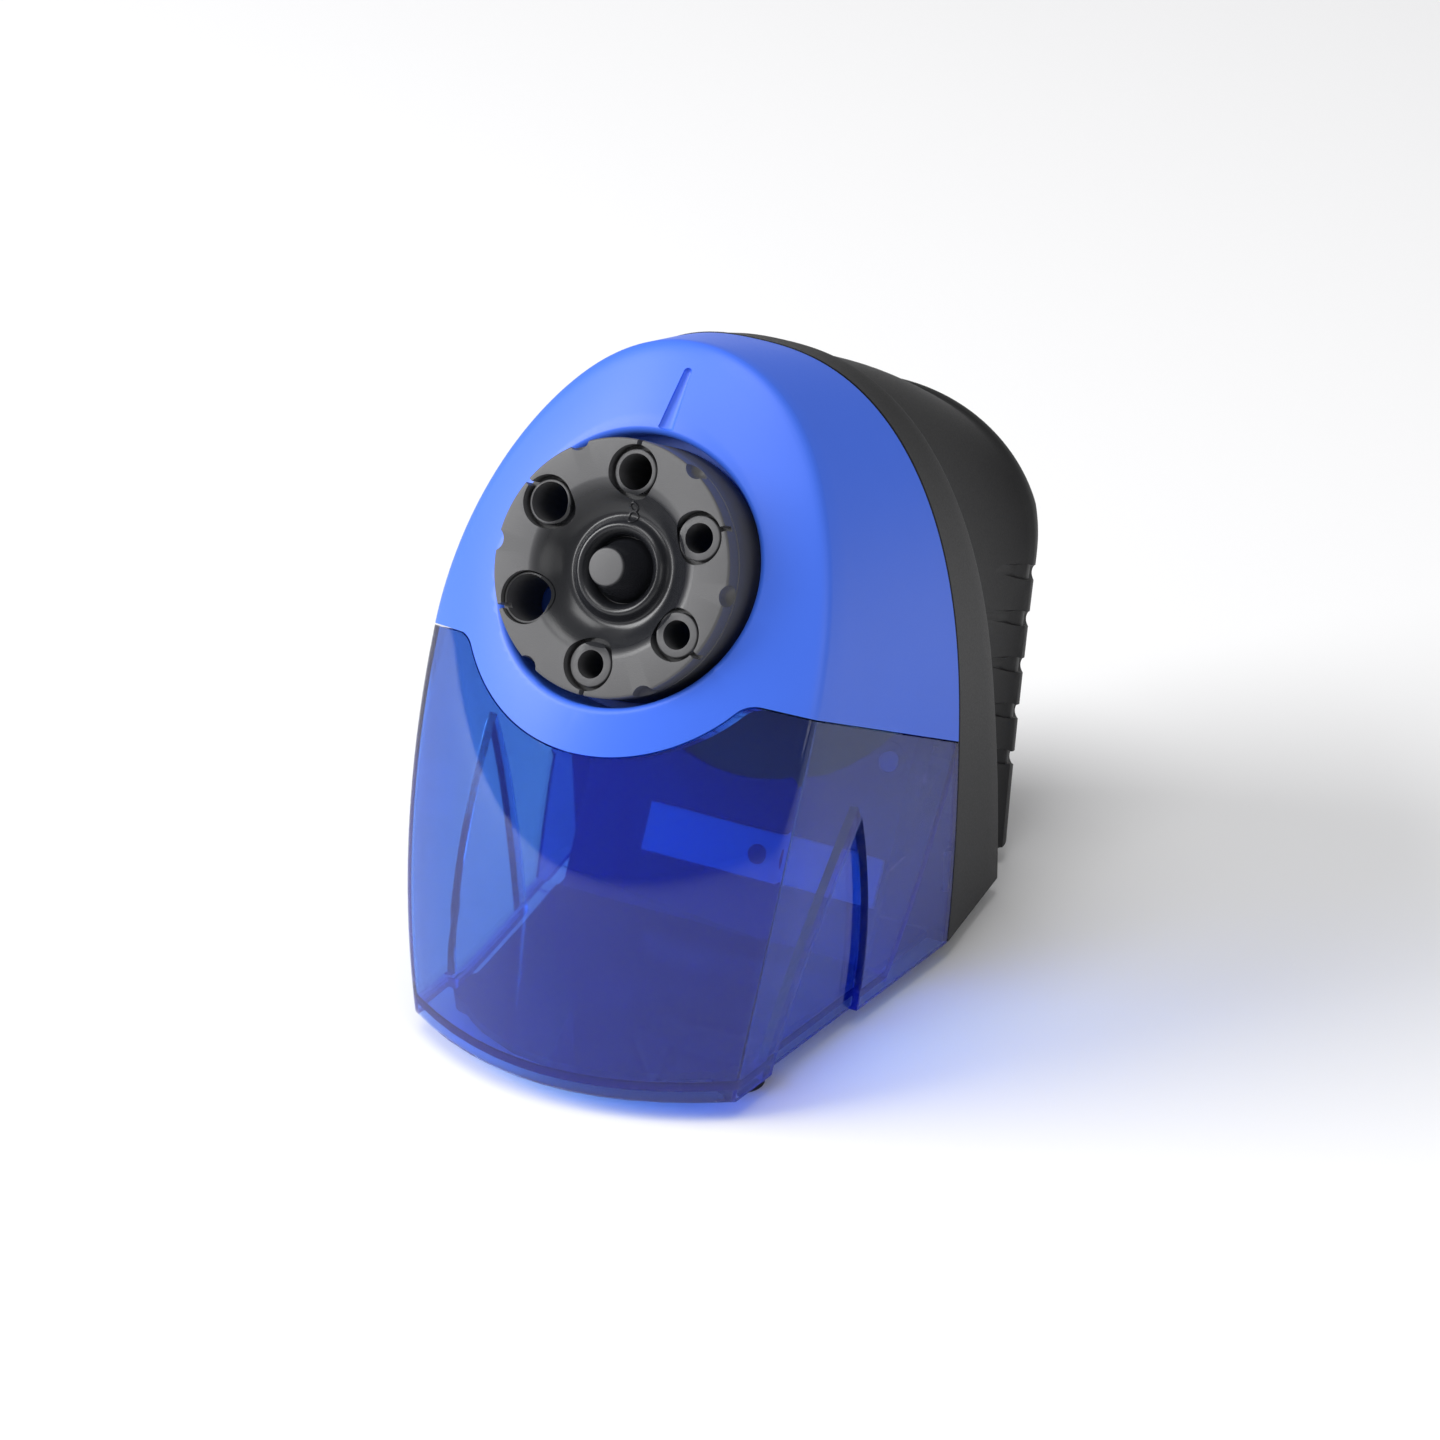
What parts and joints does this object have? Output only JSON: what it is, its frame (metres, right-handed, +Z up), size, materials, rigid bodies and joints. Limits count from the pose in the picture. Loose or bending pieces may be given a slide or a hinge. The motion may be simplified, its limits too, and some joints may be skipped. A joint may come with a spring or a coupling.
{
  "type": "electric pencil sharpener",
  "caption": "Desktop electric pencil sharpener: leaning arched blue shell, six-hole selector dial, clear blue pull-out shavings tray and a black rear motor housing.",
  "frame": {"origin": "middle of the footprint, on the table plane under the rubber feet", "axes": "+X across to the right seen from the front, +Y from the tray's front to the back, +Z up"},
  "size_m": [0.1124, 0.188, 0.169],
  "materials": {
    "blue_shell": "satin, fine texture",
    "clear_blue": "clear tinted, polished",
    "black_housing": "matte, fine texture",
    "dial_grey": "satin",
    "rubber_black": "matte",
    "zinc_steel": "zinc plated",
    "tool_steel": "hardened, ground",
    "bronze": "sintered",
    "acetal_white": "moulded",
    "lamination": "stacked sheets",
    "copper_wire": "enamelled wire",
    "fan_grey": "moulded",
    "switch_body": "moulded",
    "plunger_red": "moulded",
    "board_green": "lacquered laminate"
  },
  "bodies": {
    "housing": {"front_shell": "blue_shell", "rear_housing": "black_housing", "base_plate": "black_housing", "chassis_bulkhead": "black_housing", "gear_plate": "zinc_steel", "motor_plate": "zinc_steel", "plate_spacers": "zinc_steel", "cutter_housing": "black_housing", "shavings_chute": "black_housing", "pencil_guide": "zinc_steel", "dial_screw": "zinc_steel", "dial_washer": "zinc_steel", "detent_spring": "zinc_steel", "ring_gear": "tool_steel", "carrier_bush_front": "bronze", "carrier_bush_rear": "bronze", "idler_axle": "zinc_steel", "stator_core": "lamination", "coil_bobbin": "acetal_white", "stator_coil": "copper_wire", "motor_bracket_front": "zinc_steel", "motor_bracket_rear": "zinc_steel", "motor_bush_front": "bronze", "motor_bush_rear": "bronze", "motor_screws": "zinc_steel", "motor_grommets": "rubber_black", "start_lever_pin": "zinc_steel", "start_switch": "switch_body", "tray_stop_bar": "acetal_white", "interlock_spring": "zinc_steel", "interlock_switch": "switch_body", "thermal_cutout": "switch_body", "terminal_board": "board_green", "cord_gland": "black_housing", "front_left_foot": "rubber_black", "front_right_foot": "rubber_black", "rear_left_foot": "rubber_black", "rear_right_foot": "rubber_black", "base_screws": "zinc_steel", "bulkhead_screws": "zinc_steel"},
    "dial": {"dial": "dial_grey", "dial_cap": "dial_grey"},
    "detent": {"detent_ball": "zinc_steel"},
    "tray": {"shavings_tray": "clear_blue"},
    "carrier": {"cutter_carrier": "tool_steel", "cutter_axle": "zinc_steel", "carrier_gear": "acetal_white"},
    "cutter": {"helical_cutter": "tool_steel", "cutter_pinion": "tool_steel"},
    "idler": {"idler_gear": "acetal_white"},
    "armature": {"motor_shaft": "zinc_steel", "motor_pinion": "bronze", "rotor": "lamination", "cooling_fan": "fan_grey"},
    "start_lever": {"start_lever": "acetal_white"},
    "interlock_plunger": {"interlock_plunger": "plunger_red"}
  },
  "joints": [
    {"name": "motor_spin", "type": "hinge", "parent": "housing", "child": "armature", "pos_m": [0, 0.04871, 0.0543], "axis": [0, -0.8805, 0.4741], "continuous": true},
    {"name": "idler_spin", "type": "hinge", "parent": "housing", "child": "idler", "pos_m": [-0.01632, 0.0336, 0.08319], "axis": [0, -0.8805, 0.4741], "continuous": true},
    {"name": "carrier_spin", "type": "hinge", "parent": "housing", "child": "carrier", "pos_m": [0, 0.01478, 0.11573], "axis": [0, -0.8805, 0.4741], "continuous": true},
    {"name": "cutter_spin", "type": "hinge", "parent": "carrier", "child": "cutter", "pos_m": [0.014, 0.00096, 0.12317], "axis": [0.1908, -0.8643, 0.4654], "continuous": true},
    {"name": "dial_turn", "type": "hinge", "parent": "housing", "child": "dial", "pos_m": [0, -0.0579, 0.1284], "axis": [0, -0.8805, 0.4741], "continuous": true},
    {"name": "detent_travel", "type": "slide", "parent": "housing", "child": "detent", "axis": [0, -0.8805, 0.4741], "range_m": [0, 0.0007], "stiffness_N_per_m": 400},
    {"name": "tray_slide", "type": "slide", "parent": "housing", "child": "tray", "axis": [0, -1, 0], "range_m": [0, 0.11]},
    {"name": "start_lever_swing", "type": "hinge", "parent": "housing", "child": "start_lever", "pos_m": [0, -0.00442, 0.13913], "axis": [-1, 0, 0], "range_deg": [0, 18], "stiffness_Nm_per_rad": 0.03},
    {"name": "interlock_travel", "type": "slide", "parent": "housing", "child": "interlock_plunger", "axis": [0, -0.8805, 0.4741], "range_m": [0, 0.003], "stiffness_N_per_m": 60, "springref_m": 0.004}
  ],
  "couplings": [
    {"joint": "idler_spin", "follows": "motor_spin", "ratio": -0.25},
    {"joint": "carrier_spin", "follows": "motor_spin", "ratio": 0.083333},
    {"joint": "cutter_spin", "follows": "motor_spin", "ratio": -0.27778},
    {"joint": "interlock_travel", "follows": "tray_slide", "ratio": 0.027273}
  ]
}
